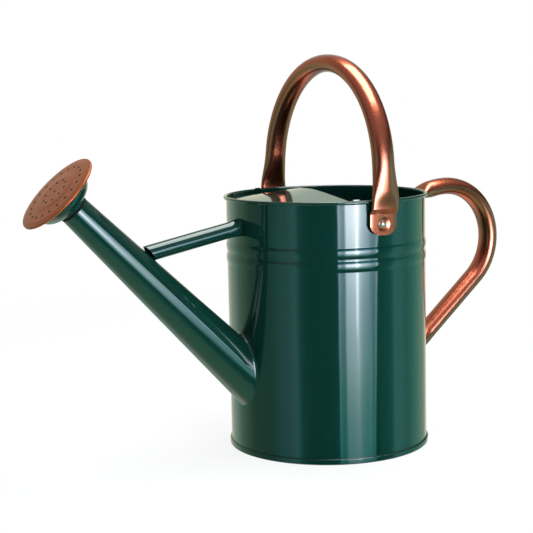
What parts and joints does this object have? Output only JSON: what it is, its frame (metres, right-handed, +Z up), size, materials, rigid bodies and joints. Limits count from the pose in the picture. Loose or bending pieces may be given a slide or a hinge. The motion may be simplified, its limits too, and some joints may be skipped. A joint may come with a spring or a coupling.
{
  "type": "watering can",
  "caption": "Round sheet-steel watering can with a hooded mouth, a braced tapered spout, a pull-off perforated rose, a swinging carrying bail and a fixed pouring handle.",
  "frame": {"origin": "centre of the base ring, on the surface that the can stands on", "axes": "+Z up, the spout points to -X and the pouring handle to +X, the bail's pivots lie along Y"},
  "size_m": [0.451, 0.189, 0.3329],
  "materials": {
    "green_enamel": "gloss dark green enamel",
    "copper_finish": "satin copper-coloured plating",
    "black_rubber": "matt",
    "bare_steel": "satin",
    "rivet_steel": "bright"
  },
  "bodies": {
    "can": {"body_shell": "green_enamel", "base_pan": "green_enamel", "fill_hood": "green_enamel", "spout_tube": "green_enamel", "spout_brace": "green_enamel", "rear_handle": "copper_finish", "bail_rivets": "rivet_steel", "handle_rivets": "rivet_steel"},
    "bail": {"top_handle": "copper_finish"},
    "seal": {"rose_seal": "black_rubber"},
    "rose": {"rose_spigot": "bare_steel", "rose_bowl": "green_enamel", "rose_face": "copper_finish"}
  },
  "joints": [
    {"name": "bail_swing", "type": "hinge", "parent": "can", "child": "bail", "pos_m": [0, 0, 0.1958], "axis": [0, 1, 0], "range_deg": [-88, 71]},
    {"name": "rose_pull", "type": "slide", "parent": "can", "child": "seal", "axis": [-0.7071, 0, 0.7071], "range_m": [0, 0.03]},
    {"name": "rose_turn", "type": "hinge", "parent": "seal", "child": "rose", "pos_m": [-0.22925, 0, 0.21615], "axis": [-0.7071, 0, 0.7071], "continuous": true}
  ]
}
